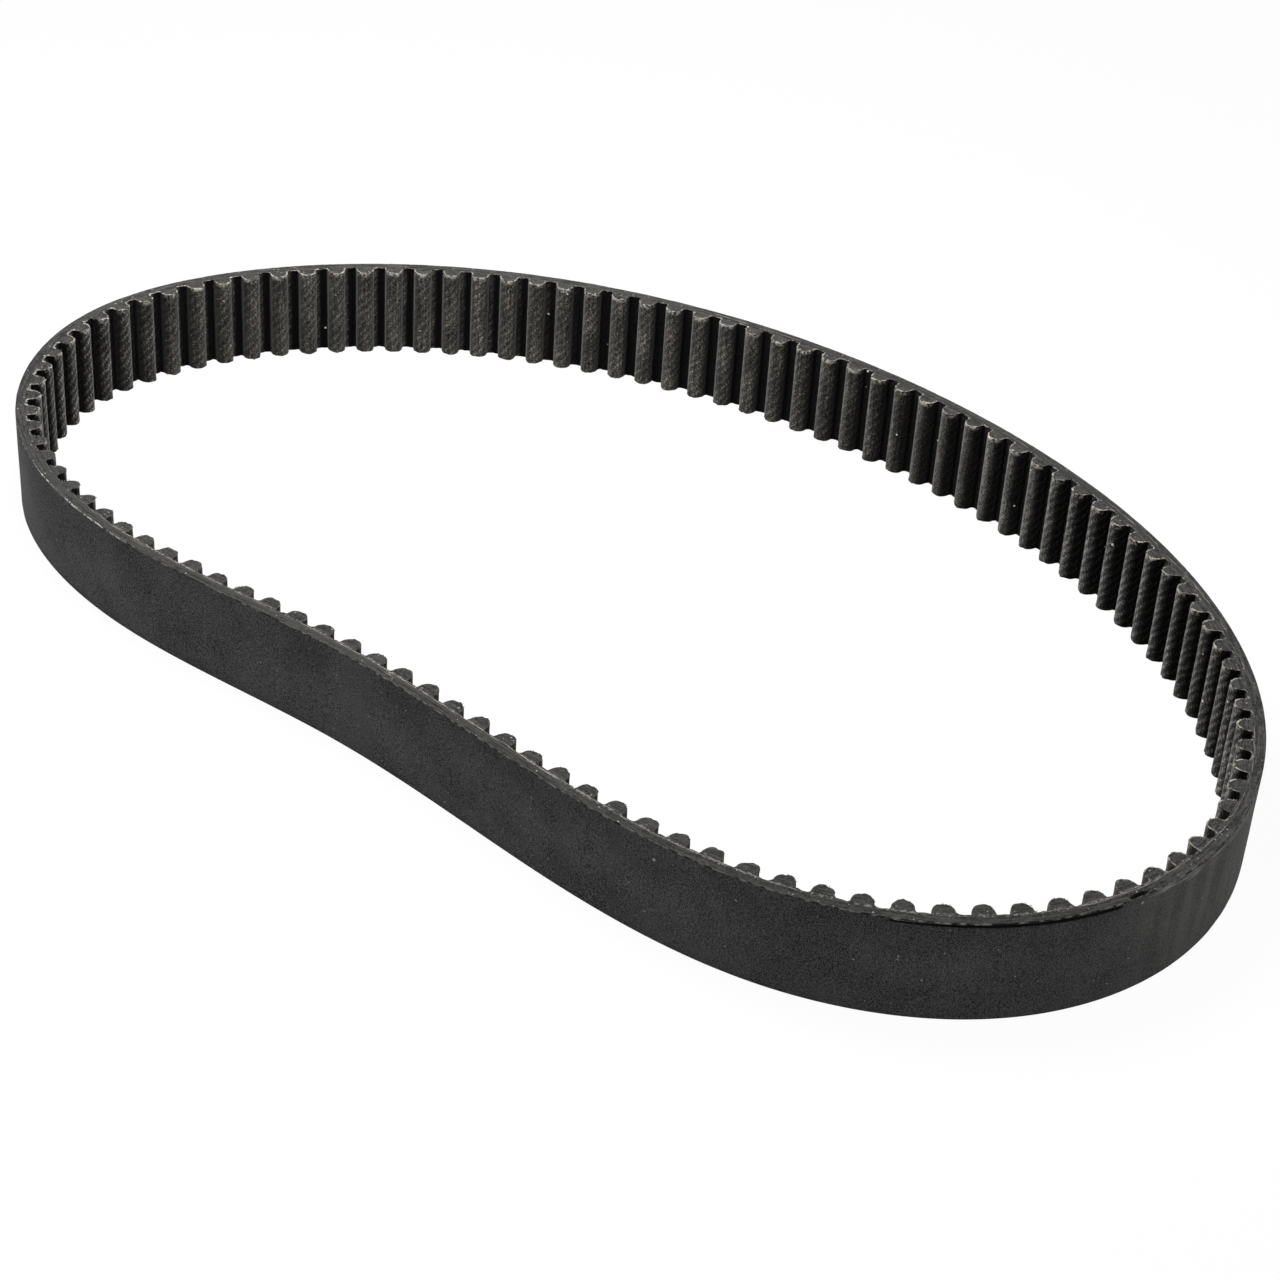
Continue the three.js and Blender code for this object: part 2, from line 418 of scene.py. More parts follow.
def grain_effect():
    """The grain of rubber: fine noise over noise three times as large."""
    tree, given, height = effect("rubber_grain", [("Place", "Vector"), ("Size", "Float")], "Height")
    parts = []
    for fineness, share in GRAIN_PARTS:
        scale = maths(tree, "DIVIDE", fineness, given["Size"])
        inputs = [("Vector", given["Place"]), ("Scale", scale), ("Detail", 2.0)]
        parts.append(product(tree, add(tree, "TexNoise", inputs).outputs[0], share))
    tree.links.new(maths(tree, "ADD", *parts), height)
    return tree


def drawn_effect():
    """Noise drawn out along or across the belt, as a blade or a wiping hand leaves it. It closes on itself
    round the loop."""
    inputs = [(name, "Float") for name in ("Along", "Loop", "Across", "Along Size", "Across Size")]
    tree, given, height = effect("drawn_noise", inputs, "Height")
    turn = product(tree, maths(tree, "DIVIDE", given["Along"], given["Loop"]), 2 * math.pi)
    radius = maths(tree, "DIVIDE", maths(tree, "DIVIDE", given["Loop"], given["Along Size"]), 2 * math.pi)
    place = add(tree, "CombineXYZ", [(0, product(tree, maths(tree, "COSINE", turn), radius)),
                                     (1, product(tree, maths(tree, "SINE", turn), radius)),
                                     (2, maths(tree, "DIVIDE", given["Across"], given["Across Size"]))])
    made = add(tree, "TexNoise", [("Vector", place.outputs[0]), ("Scale", 1.0), ("Detail", 2.0)])
    tree.links.new(made.outputs[0], height)
    return tree


def weave_effect():
    """Two-over-two twill from distances along and across the cloth: the height of its yarns. Each yarn
    comes up for two crossings, one crossing later than its neighbour, and that makes the diagonal ribs."""
    inputs = [(name, "Float") for name in ("Along", "Across", "Thread")]
    tree, given, height = effect("twill_weave", inputs, "Height")
    u = maths(tree, "DIVIDE", given["Along"], given["Thread"])
    v = maths(tree, "DIVIDE", given["Across"], given["Thread"])
    crossing = maths(tree, "ADD", maths(tree, "FLOOR", u), maths(tree, "FLOOR", v))
    along_yarn = maths(tree, "ADD", maths(tree, "FLOORED_MODULO", crossing, 4.0), maths(tree, "FRACT", v))
    rise = maths(tree, "SINE", product(tree, along_yarn, math.pi / 2))
    across_yarn = maths(tree, "SINE", product(tree, maths(tree, "FRACT", u), math.pi))
    yarn = maths(tree, "MULTIPLY_ADD", across_yarn, YARN_ROUNDNESS, 1 - YARN_ROUNDNESS)
    tree.links.new(product(tree, maths(tree, "MAXIMUM", rise, 0.0), yarn), height)
    return tree


def side_effect(name, axis, limits, low, high):
    """A share of dust that changes from one side of the loop to the other."""
    tree, given, share = effect(name, [("Place", "Vector")], "Share")
    across = add(tree, "SeparateXYZ", [(0, given["Place"])]).outputs[axis]
    tree.links.new(ramp(tree, across, *limits, low, high), share)
    return tree


def sagging_effect():
    """One on the side that sags in, where the knife came through hardest, and nought elsewhere."""
    tree, given, share = effect("sagging_side", [("Along", "Float"), ("Loop", "Float")], "Share")
    tooth = product(tree, maths(tree, "DIVIDE", given["Along"], given["Loop"]), TEETH)
    tree.links.new(band(tree, tooth, *SAGGING_TEETH), share)
    return tree


DUST = dust_effect()
GRAIN = grain_effect()
DRAWN = drawn_effect()
WEAVE = weave_effect()
DUSTY_SIDE = side_effect("dusty_side", "Y", (-45 * MM, -5 * MM), 0.12, 1.0)
LEFT_END = side_effect("left_end", "X", (-92 * MM, -66 * MM), 1.0, 0.0)
SAGGING_SIDE = sagging_effect()


def belt_places(tree):
    """Distances along the belt, inside the cord line and over the floor, and the place in the frame."""
    unrolled = add(tree, "Attribute", attribute_name="belt")
    parts = add(tree, "SeparateXYZ", [(0, unrolled.outputs["Vector"])])
    return parts.outputs[0], parts.outputs[1], parts.outputs[2], add(tree, "TexCoord").outputs["Object"]


def bump(tree, height, depth, below=None):
    inputs = [("Height", height), ("Distance", depth), ("Strength", 1.0)]
    if below is not None:
        inputs.append(("Normal", below))
    return add(tree, "Bump", inputs).outputs[0]


def principled(tree, color, normal, roughness, specular, sheen):
    surface = [("Base Color", color), ("Normal", normal), ("Roughness", roughness),
               ("Specular IOR Level", specular), ("Sheen Weight", sheen), ("Sheen Roughness", SHEEN_SPREAD)]
    shader = add(tree, "BsdfPrincipled", surface)
    add(tree, "OutputMaterial", [("Surface", shader.outputs[0])])


# The nylon's own black, set darker still, so that the grooves and shaded flanks are partly painted shade.
NYLON_DARK = (0.0006, 0.00055, 0.0005, 1)
# The worn and felted colours are also the colours of the painted light on the lands at the left end.
NYLON_WORN_AND_PAINTED_LIGHT = (0.31, 0.297, 0.273, 1)
NYLON_FELTED_AND_PAINTED_LIGHT = (0.18, 0.164, 0.139, 1)
# Painted light on flanks that lie in shade near the upper edge.
NYLON_PAINTED_FLANK_LIGHT = (0.045, 0.041, 0.036, 1)
NYLON_LINT = (0.5, 0.48, 0.43, 1)
NYLON_EDGE = (0.4, 0.38, 0.33, 1)
NYLON_CUT = (0.03, 0.029, 0.026, 1)
SWAY = 0.9 * MM
DUST_FOOT = {"felted": 0.35 * MM, "clear": 1.1 * MM}
DUST_TOP = 1.98 * MM
FELTED_TEETH = (70, 82), (0, 6)
FELTED_CLEAR = 0.3
PAINTED_LIGHT_LAND_TEETH = (92, 99), (3, 7)
RIGHT_END = (40, 44), (74, 88)
BOTH_FLANKS = (77, 89), (61, 69)
SHADED_TEETH = (4, 7), (14, 17)


def dust_and_painted_light_cover(tree, tooth, inside, clear, cloth):
    """The part of a tooth that is crown, and how far dust and painted light cover the black before it
    breaks into patches. Dust lies on the crowns and leaves the grooves black, partly as painted shade. The
    flank that faces back round the loop is painted dark as shade, except on the teeth where both flanks are
    lit. Towards the left end painted light lies on the lands and on the flank that faces back, each tooth
    is painted lighter on that side and darker on the other, and on a few teeth the other flank is painted
    dark as shade."""
    share = maths(tree, "FRACT", tooth)
    foot = maths(tree, "MULTIPLY_ADD", clear, DUST_FOOT["clear"] - DUST_FOOT["felted"],
                 CORD_TO_LAND + DUST_FOOT["felted"])
    on_crown = ramp(tree, inside, foot, CORD_TO_LAND + DUST_TOP)
    # Painted light: towards the left end the lands and the flank that faces back are painted lighter, and
    # each tooth lighter on that side and darker on the other.
    painted_light_lands = outside(tree, tooth, *PAINTED_LIGHT_LAND_TEETH)
    before_crown = maths(tree, "LESS_THAN", share, 0.5)
    painted_land_light = product(tree, ramp(tree, share, 0.0, 0.1, to_high=0.68), before_crown, painted_light_lands)
    painted_light_slope = ramp(tree, share, 0.42, 0.7, to_low=0.12, to_high=-0.3)
    crown_dust_and_land_light = product(tree, maths(tree, "MAXIMUM", on_crown, painted_land_light),
                     maths(tree, "MULTIPLY_ADD", painted_light_lands, painted_light_slope, 1.0))
    ribs = product(tree, ramp(tree, cloth, 0.02, 0.3, to_low=0.3), band(tree, tooth, *RIGHT_END))
    gaps = maths(tree, "MAXIMUM", ramp(tree, cloth, 0.2, 0.75, to_low=0.25), ribs)
    # Painted shade: the flank that faces back round the loop is held dark, except on the teeth where both
    # flanks are lit.
    painted_flank_shade = ramp(tree, share, 0.34, 0.6, to_low=0.12)
    flanks = maths(tree, "MAXIMUM", painted_flank_shade, outside(tree, tooth, *BOTH_FLANKS))
    # Painted shade: on a few teeth near the left end the flank that faces on round the loop is painted
    # dark.
    painted_shade_late_flank = ramp(tree, share, 0.55, 0.7, to_high=-0.85)
    shaded = maths(tree, "MULTIPLY_ADD", band(tree, tooth, *SHADED_TEETH), painted_shade_late_flank, 1.0)
    return on_crown, product(tree, crown_dust_and_land_light, gaps, flanks, shaded)


def facing_material():
    """The weave shows plainly at both ends of the loop. Dust and lint have felted it on the outer side."""
    made = bpy.data.materials.new("worn_nylon")
    tree = empty_tree(made)
    along, inside, height, place = belt_places(tree)
    sway = maths(tree, "MULTIPLY_ADD", noise(tree, place, 2.5 * MM, seed=9.0), SWAY, -SWAY / 2)
    moved = maths(tree, "ADD", along, sway), maths(tree, "ADD", height, sway)
    yarns = use(tree, WEAVE, [("Along", moved[0]), ("Across", moved[1]), ("Thread", THREAD)])
    tooth = product(tree, maths(tree, "DIVIDE", along, WRAP), TEETH)
    clear = maths(tree, "MULTIPLY_ADD", outside(tree, tooth, *FELTED_TEETH), FELTED_CLEAR - 1, 1.0)
    felt = noise(tree, place, 0.22 * MM, detail=3, seed=7.0)
    cloth = add(tree, "Mix", [(0, clear), (2, felt), (3, yarns)]).outputs[0]
    # Dust on the crowns together with painted light and shade on the teeth.
    on_crown, dust_light_and_shade = dust_and_painted_light_cover(tree, tooth, inside, clear, cloth)
    patches = ramp(tree, noise(tree, place, 5 * MM, detail=3), 0.3, 0.7, to_low=0.5)
    mottle = ramp(tree, noise(tree, place, 0.28 * MM, detail=3, seed=3.0), 0.36, 0.64, to_low=0.2)
    drawn = use(tree, DRAWN, [("Along", along), ("Loop", WRAP), ("Across", height),
                              ("Along Size", 0.35 * MM), ("Across Size", 6 * MM)])
    streaks = ramp(tree, drawn, 0.35, 0.65, to_low=0.45)
    # Painted light: near the upper edge, on the side that sags in, the black ground is painted lighter
    # where its flanks lie in shade.
    painted_flank_light = product(tree, ramp(tree, height, WIDTH - 3 * MM, WIDTH - 0.5 * MM),
                      use(tree, SAGGING_SIDE, [("Along", along), ("Loop", WRAP)]))
    ground = mix_colors(tree, painted_flank_light, NYLON_DARK, NYLON_PAINTED_FLANK_LIGHT)
    dust = mix_colors(tree, clear, NYLON_FELTED_AND_PAINTED_LIGHT, NYLON_WORN_AND_PAINTED_LIGHT)
    color = mix_colors(tree, product(tree, dust_light_and_shade, patches, mottle, streaks), ground, dust)
    tufts = ramp(tree, noise(tree, place, 0.5 * MM, detail=3, seed=12.0), 0.4, 0.6)
    frayed = product(tree, ramp(tree, height, WIDTH - 0.9 * MM, WIDTH, to_high=0.8), on_crown, tufts)
    color = mix_colors(tree, frayed, color, NYLON_EDGE)
    lint = use(tree, DUST, [("Place", place), ("Spacing", 1.4 * MM), ("Size", 0.16 * MM), ("Share", 0.07)])
    color = mix_colors(tree, lint, color, NYLON_LINT)
    normal = bump(tree, product(tree, yarns, clear), 0.1 * MM)
    normal = bump(tree, felt, 0.05 * MM, normal)
    principled(tree, color, normal, roughness=0.95, specular=0.0, sheen=0.16)
    return made


def facing_edge_material():
    """The fabric's cut edge, lighter than its face because the dye ends there."""
    made = bpy.data.materials.new("cut_nylon")
    tree = empty_tree(made)
    _, inside, _, place = belt_places(tree)
    patches = ramp(tree, noise(tree, place, 0.6 * MM, detail=4, seed=5.0), 0.42, 0.6)
    dusty = product(tree, use(tree, DUSTY_SIDE, [("Place", place)]),
                    ramp(tree, inside, CORD_TO_LAND, CORD_TO_LAND + 1.6 * MM, to_low=0.45))
    ragged = product(tree, use(tree, LEFT_END, [("Place", place)]), 0.75)
    light = product(tree, patches, maths(tree, "MAXIMUM", dusty, ragged))
    color = mix_colors(tree, light, NYLON_CUT, NYLON_EDGE)
    normal = bump(tree, noise(tree, place, 0.12 * MM), 0.05 * MM)
    principled(tree, color, normal, roughness=0.9, specular=0.1, sheen=0.0)
    return made


WORN_NYLON = facing_material()
CUT_NYLON = facing_edge_material()
dress("nylon_facing", facing_mesh(), [WORN_NYLON, CUT_NYLON], "nylon_facing", "facing_fabric")

# Frayed threads. The knife that slices the sleeve drags the facing's yarns out at both cut edges, mostly
# over one flank of each tooth, and most of all at the left end. They are the facing's own yarn ends, still
# held in its rubber.
THREADS_PER_TOOTH = {"upper": 18, "lower": 8}
THREAD_STEPS = np.array([-0.3, 0.2, 0.6, 1.0])
THREAD_TAPER = np.array([1, 1, 0.8, 0.4])
DRAGGED_SHARE = 0.65
DRAGGED_CORNERS = (11, 20)
LOOSE = {"off_along": 0.1 * MM, "off_inside": (-0.08 * MM, 0.05 * MM), "reach": (0.08 * MM, 0.3 * MM),
         "upper_rise": (0.0, 0.5), "lower_rise": (-0.1, 0.2), "lowest": 0.03 * MM,
         "radius": (0.025 * MM, 0.055 * MM)}
RAGGED = {"teeth": range(1, 17), "count": 14, "corners": (1, 2, 3, 4, 5, 11, 12, 13, 18, 19, 20),
          "lean": 0.36 * MM, "rise": 0.1 * MM, "radius": (0.05 * MM, 0.095 * MM),
          "taper": np.array([1, 1, 0.8, 0.5])}
SKEW = np.array([0.31, 0.52, 0.79])


def tubes_mesh(name, paths, radii, sides):
    """One mesh of many thin tubes with flat ends."""
    corners, faces = [], []
    turn = np.arange(sides) / sides * 2 * math.pi
    count = 0
    for path, radius in zip(paths, radii):
        slope = np.gradient(path, axis=0)
        slope /= np.linalg.norm(slope, axis=1, keepdims=True)
        side = np.cross(slope, SKEW)
        side /= np.linalg.norm(side, axis=1, keepdims=True)
        over = np.cross(slope, side)
        spokes = side[:, None] * np.cos(turn)[None, :, None] + over[:, None] * np.sin(turn)[None, :, None]
        corners.append((path[:, None] + radius[:, None, None] * spokes).reshape(-1, 3))
        first = list(range(count, count + sides))
        after = first[1:] + first[:1]
        for step in range(0, (len(path) - 1) * sides, sides):
            faces += [(a + step, b + step, b + step + sides, a + step + sides)
                      for a, b in zip(first, after)]
        count += len(path) * sides
        faces += [first[::-1], list(range(count - sides, count))]
    mesh = bpy.data.meshes.new(name)
    mesh.from_pydata(np.concatenate(corners).tolist(), [], faces)
    mesh.update()
    return mesh


def ragged_thread(chance, middle, outline):
    """A short stub that stands up from the cut edge of a tooth at the left end: its line and its radii."""
    corner = chance.choice(RAGGED["corners"])
    lean = chance.uniform(-RAGGED["lean"], RAGGED["lean"], 2)
    along = middle + outline[corner, 0] + lean[0] * THREAD_STEPS
    inside = outline[corner, 1] + CORD_TO_LAND + lean[1] * THREAD_STEPS
    line = in_place(along, inside, WIDTH + RAGGED["rise"] * np.maximum(THREAD_STEPS, 0))
    return line, chance.uniform(*RAGGED["radius"]) * RAGGED["taper"]


def loose_thread(chance, middle, outline, upper):
    """A fine thread at either cut edge: its line and its radii."""
    dragged = upper and chance.random() < DRAGGED_SHARE
    corner = chance.integers(*DRAGGED_CORNERS) if dragged else chance.integers(0, len(outline))
    along = middle + outline[corner, 0] + chance.uniform(-LOOSE["off_along"], LOOSE["off_along"])
    inside = outline[corner, 1] + CORD_TO_LAND + chance.uniform(*LOOSE["off_inside"])
    reach = chance.uniform(*LOOSE["reach"])
    lean = chance.uniform(-1, 1, 2) * reach * (1, 0.7)
    rise = chance.uniform(*LOOSE["upper_rise" if upper else "lower_rise"]) * reach
    height = (WIDTH if upper else LOOSE["lowest"]) + np.maximum(THREAD_STEPS, 0) * rise
    line = in_place(along + lean[0] * THREAD_STEPS, inside + lean[1] * THREAD_STEPS, height)
    return line, chance.uniform(*LOOSE["radius"]) * THREAD_TAPER


def frayed_threads():
    chance = np.random.default_rng(51)
    outline = (OUTLINE + SUNK_OUTLINE) / 2
    threads = []
    for tooth, middle in enumerate(TOOTH_MIDDLES):
        if tooth in RAGGED["teeth"]:
            threads += [ragged_thread(chance, middle, outline) for _ in range(RAGGED["count"])]
        for edge, count in THREADS_PER_TOOTH.items():
            threads += [loose_thread(chance, middle, outline, edge == "upper") for _ in range(count)]
    return tubes_mesh("frayed_threads", *zip(*threads), 4)


LOOSE_DARK = (0.04, 0.038, 0.034, 1)


def loose_yarn_material():
    made = bpy.data.materials.new("loose_yarn")
    tree = empty_tree(made)
    place = belt_places(tree)[3]
    sides = [use(tree, side, [("Place", place)]) for side in (DUSTY_SIDE, LEFT_END)]
    patches = ramp(tree, noise(tree, place, 0.7 * MM), 0.35, 0.65)
    light = product(tree, patches, maths(tree, "MAXIMUM", *sides))
    color = mix_colors(tree, light, LOOSE_DARK, NYLON_LINT)
    normal = bump(tree, noise(tree, place, 0.05 * MM), 0.02 * MM)
    principled(tree, color, normal, roughness=0.9, specular=0.1, sheen=0.0)
    return made


dress("frayed_threads", frayed_threads(), [loose_yarn_material()], "nylon_facing")

# Tooth rubber. Black chloroprene flows between the cords in the press and fills the facing, so that the
# teeth and the thin cushion are one body. Slicing the sleeve leaves a flat, slightly dragged cut face.
CUT_ROW_SHARES = np.array([0, 0.12, 0.3, 0.5, 0.7, 0.88, 1])
CUT_ROUGHNESS = 0.022 * MM
SHORT_MARKS = [(21, 0.6, 0.35 * MM)]
LONG_MARKS = [(22, 0.4, 1.2 * MM)]
LONG_MARK_STRETCH = 3
LOWER_CUT_SHARE = 0.3


def cut_height(along, inside, upper):
    """The cut face's height: nearly flat, with the marks that the knife dragged along it."""
    drag = rough(SHORT_MARKS, along, inside) + rough(LONG_MARKS, along, inside * LONG_MARK_STRETCH)
    return WIDTH + CUT_ROUGHNESS * drag if upper else LOWER_CUT_SHARE * CUT_ROUGHNESS * (drag + 1)


def teeth_mesh():
    along, inside = round_the_loop(SUNK_OUTLINE)
    base = np.arange(len(along)) / len(along) * LENGTH
    row_along = base[:, None] * (1 - CUT_ROW_SHARES) + along[:, None] * CUT_ROW_SHARES
    row_in = inside[:, None] * CUT_ROW_SHARES
    upper = in_place(row_along, row_in, cut_height(row_along, row_in, True))
    lower = in_place(row_along, row_in, cut_height(row_along, row_in, False))
    points = np.concatenate([upper, lower[:, ::-1]], 1)
    belt = np.zeros_like(points)
    belt[..., 0] = np.concatenate([row_along, row_along[:, ::-1]], 1)
    belt[..., 1] = np.concatenate([row_in, row_in[:, ::-1]], 1)
    belt[..., 2] = points[..., 2]
    return ring_mesh("tooth_rubber", points, belt, LENGTH, np.zeros(points.shape[1]))


CUT_DARK = (0.001, 0.001, 0.001, 1)
CUT_LIGHT = (0.062, 0.061, 0.0585, 1)
CUT_SPECK = (0.24, 0.235, 0.215, 1)
# A near black painted into the gouge and the split as shade.
PAINTED_SHADE_BLACK = (0.0005, 0.0005, 0.0005, 1)
GOUGE_SHADE_HEIGHTS = (WIDTH - 0.16 * MM, WIDTH - 0.06 * MM)
COMBED = (0.1 * MM, 0.35 * MM), (0.5 * MM, 0.9 * MM)


def cut_rubber_material():
    """Streaked and speckled by the knife, dull along the cord line where glass dust lies on it, and painted
    near black in the gouge as shade."""
    made = bpy.data.materials.new("sliced_rubber")
    tree = empty_tree(made)
    along, inside, height, place = belt_places(tree)
    grain = use(tree, GRAIN, [("Place", place), ("Size", 0.26 * MM)])
    streaks = use(tree, DRAWN, [("Along", along), ("Loop", LENGTH), ("Across", inside),
                                ("Along Size", 3.5 * MM), ("Across Size", 0.26 * MM)])
    blotches = ramp(tree, noise(tree, place, 0.7 * MM, detail=3, seed=4.0), 0.35, 0.65)
    tone = maths(tree, "ADD", product(tree, ramp(tree, streaks, 0.4, 0.6), 0.45),
                 product(tree, ramp(tree, grain, 0.42, 0.58), 0.35))
    tone = maths(tree, "MULTIPLY_ADD", blotches, 0.2, tone)
    dusty = use(tree, DUSTY_SIDE, [("Place", place)])
    tone = product(tree, tone, maths(tree, "MULTIPLY_ADD", dusty, 0.32, 0.68))
    color = mix_colors(tree, tone, CUT_DARK, CUT_LIGHT)
    specks = use(tree, DUST, [("Place", place), ("Spacing", 0.6 * MM), ("Size", 0.1 * MM), ("Share", 0.22)])
    color = mix_colors(tree, specks, color, CUT_SPECK)
    flakes = ramp(tree, noise(tree, place, 0.45 * MM, detail=3, seed=2.0), 0.45, 0.62, to_high=0.55)
    sagging = use(tree, SAGGING_SIDE, [("Along", along), ("Loop", LENGTH)])
    color = mix_colors(tree, product(tree, band(tree, inside, *COMBED), flakes, sagging), color, CUT_SPECK)
    # Painted shade: the gouge's hollow below the cut face is painted near black.
    painted_gouge_shade = product(tree, ramp(tree, height, *GOUGE_SHADE_HEIGHTS, to_low=1.0, to_high=0.0),
                     maths(tree, "GREATER_THAN", height, WIDTH / 2))
    color = mix_colors(tree, painted_gouge_shade, color, PAINTED_SHADE_BLACK)
    normal = bump(tree, streaks, 0.03 * MM, bump(tree, grain, 0.03 * MM))
    principled(tree, color, normal, roughness=0.8, specular=0.15, sheen=0.02)
    return made


CUT_RUBBER = cut_rubber_material()
dress("rubber_teeth", teeth_mesh(), [CUT_RUBBER], "tooth_rubber", "tooth_rubber")

# Tensile cords. Glass filaments are twisted into three-ply cords 0.6 mm thick, one with an S and one with
# a Z twist, and wound side by side. They run out through both cut edges, where the knife slices them.
CORD_LEAD = 2.4 * MM
CORD_STEP = PITCH / 4
CORD_SIDES = 12
CORD_PLIES = 3
PLY_LAY = 9 * MM
PLY_GROOVE = 0.12
CORDS = {"tensile_cord_s": {"stands_for": "s_twist_cord", "height": 0.077 * MM, "hand": 1},
         "tensile_cord_z": {"stands_for": "z_twist_cord", "height": 1.277 * MM, "hand": -1}}
CUT_PROUD = 0.03 * MM
LAST_SLIVER = 0.05 * MM
CORD_SHARP_ANGLE = math.radians(50)


def cord_mesh(name, first_height, hand):
    """One cord from below the lower cut to above the upper one, sliced flat where it leaves the belt."""
    reach = CORD_DIAMETER / 2 - LAST_SLIVER
    start, end = ((level - first_height) / CORD_LEAD * LENGTH for level in (-reach, WIDTH + reach))
    along = np.arange(start, end, CORD_STEP)[:, None]
    turn = np.arange(CORD_SIDES)[None] / CORD_SIDES * 2 * math.pi
    ply = CORD_PLIES * (turn - hand * 2 * math.pi * along / PLY_LAY) / 2
    radius = CORD_DIAMETER / 2 * (1 - PLY_GROOVE + PLY_GROOVE * np.abs(np.cos(ply)))
    height = first_height + along / LENGTH * CORD_LEAD + radius * np.sin(turn)
    rings = in_place(along, radius * np.cos(turn), np.clip(height, 0, WIDTH + CUT_PROUD))
    count, sides = rings.shape[:2]
    c, k = np.meshgrid(np.arange(count - 1) * sides, np.arange(sides), indexing="ij")
    after = (k + 1) % sides
    quads = np.stack([c + k, c + after, c + sides + after, c + sides + k], -1)
    ends = [list(range(sides))[::-1], list(range((count - 1) * sides, count * sides))]
    faces = quads.reshape(-1, 4).tolist() + ends
    mesh = bpy.data.meshes.new(name)
    mesh.from_pydata(rings.reshape(-1, 3).tolist(), [], faces)
    mesh.polygons.foreach_set("use_smooth", np.ones(len(faces), bool))
    mesh.set_sharp_from_angle(angle=CORD_SHARP_ANGLE)
    mesh.update()
    return mesh


GLASS_BARE = (0.25, 0.229, 0.188, 1)
GLASS_GUMMED = (0.02, 0.0195, 0.018, 1)


def cord_material():
    made = bpy.data.materials.new("gummed_glass")
    tree = empty_tree(made)
    place = belt_places(tree)[3]
    bare = product(tree, ramp(tree, noise(tree, place, 3.5 * MM, detail=4), 0.6, 0.8),
                   ramp(tree, noise(tree, place, 0.3 * MM, detail=3, seed=2.0), 0.4, 0.65))
    color = mix_colors(tree, bare, GLASS_GUMMED, GLASS_BARE)
    normal = bump(tree, noise(tree, place, 0.1 * MM, seed=4.0), 0.04 * MM)
    principled(tree, color, normal, roughness=0.7, specular=0.2, sheen=0.0)
    return made


GUMMED_GLASS = cord_material()
for cord_name, facts in CORDS.items():
    dress(cord_name, cord_mesh(cord_name, facts["height"], facts["hand"]), [GUMMED_GLASS], "glass_cord",
          facts["stands_for"])

# Bared filaments. Where a cord runs out through the upper cut, the knife has combed its outer glass
# filaments out of the gum. They lie on the cut face in a thin cream line along the roots of the teeth.
FILAMENT_RUNS = [{"from": 13, "to": 17, "inside": 0.42 * MM, "cover": 0.2, "strands": 2},
                 {"from": 17, "to": 41, "inside": 0.42 * MM, "cover": 0.6, "strands": 3},
                 {"from": 41, "to": 48, "inside": 0.42 * MM, "cover": 0.25, "strands": 2},
                 {"from": 48, "to": 60, "inside": 0.3 * MM, "cover": 0.3, "strands": 3},
                 {"from": 60, "to": 100, "inside": -0.2 * MM, "cover": 0.15, "strands": 2}]
FILAMENT_STEP = 0.4 * MM
FILAMENT_WAVES = [(62, 0.16 * MM, 2.6 * MM), (63, 0.07 * MM, 0.9 * MM)]
FILAMENT_LIFT = 0.02 * MM
FILAMENT_LENGTH = (1.2 * MM, 8 * MM)
FILAMENT_GAP = (0.7, 1.1)
FILAMENT_OFF = 0.06 * MM
FILAMENT_RADIUS = (0.03 * MM, 0.055 * MM)
FILAMENT_TIP = 0.2 * MM
FILAMENT_TAPER = 1.2 * MM


def bared_filaments():
    chance = np.random.default_rng(61)
    paths, radii = [], []
    for run in FILAMENT_RUNS:
        for strand in range(run["strands"]):
            at = run["from"] * PITCH
            while at < run["to"] * PITCH:
                reach = chance.uniform(*FILAMENT_LENGTH)
                if chance.random() < run["cover"]:
                    along = np.arange(at, at + reach, FILAMENT_STEP)
                    wave = rough(FILAMENT_WAVES, along, strand * MM)
                    inside = run["inside"] + wave + chance.uniform(-FILAMENT_OFF, FILAMENT_OFF)
                    lift = rough([(64, FILAMENT_LIFT, 1.5 * MM)], along, strand * MM)
                    paths.append(in_place(along, inside, WIDTH + FILAMENT_LIFT + lift))
                    to_end = np.minimum(along - at, along[-1] - along) + FILAMENT_TIP
                    taper = np.minimum(1, to_end / FILAMENT_TAPER)
                    radii.append(chance.uniform(*FILAMENT_RADIUS) * taper)
                at += reach * chance.uniform(*FILAMENT_GAP)
    return tubes_mesh("bared_filaments", paths, radii, 5)


GLASS_DUSTY = (0.08, 0.075, 0.064, 1)


def filament_material():
    made = bpy.data.materials.new("bare_glass")
    tree = empty_tree(made)
    place = belt_places(tree)[3]
    clean = ramp(tree, noise(tree, place, 2.2 * MM, detail=3, seed=6.0), 0.35, 0.65)
    color = mix_colors(tree, clean, GLASS_DUSTY, GLASS_BARE)
    normal = bump(tree, noise(tree, place, 0.08 * MM), 0.02 * MM)
    principled(tree, color, normal, roughness=0.6, specular=0.3, sheen=0.0)
    return made


dress("bared_filaments", bared_filaments(), [filament_material()], "glass_cord")

# Backing rubber. A sheet of black chloroprene is laid over the cords, sinks between them in the press and
# is ground to a matt, even back. The knife left a burr on its upper corner. The corner is torn towards the
# left of the side that sags in, and towards the right a split runs under it, with a gouge past its end.
BACK_INSIDE = -(CORD_DIAMETER / 2 + BACKING_THICKNESS)
BACK_STEP = PITCH / 12
BACK_ROWS = np.array([0.06, 0.14, 0.3, 0.7, 1.5, 3, 5, 7.5, 10, 12, 13, 13.5, 13.8, 13.95, 14.05, 14.14,
                      14.21, 14.28, 14.35, 14.42, 14.49, 14.56, 14.63, 14.7, 14.78, 14.88, 14.95]) * MM
EDGE_ROWS = np.array([-1.12, -1.07, -1.0, -0.92, -0.84, -0.72, -0.6, -0.48, -0.35, -0.2, 0]) * MM
BACK_UNEVEN = [(31, 0.02 * MM, 2.5 * MM)]
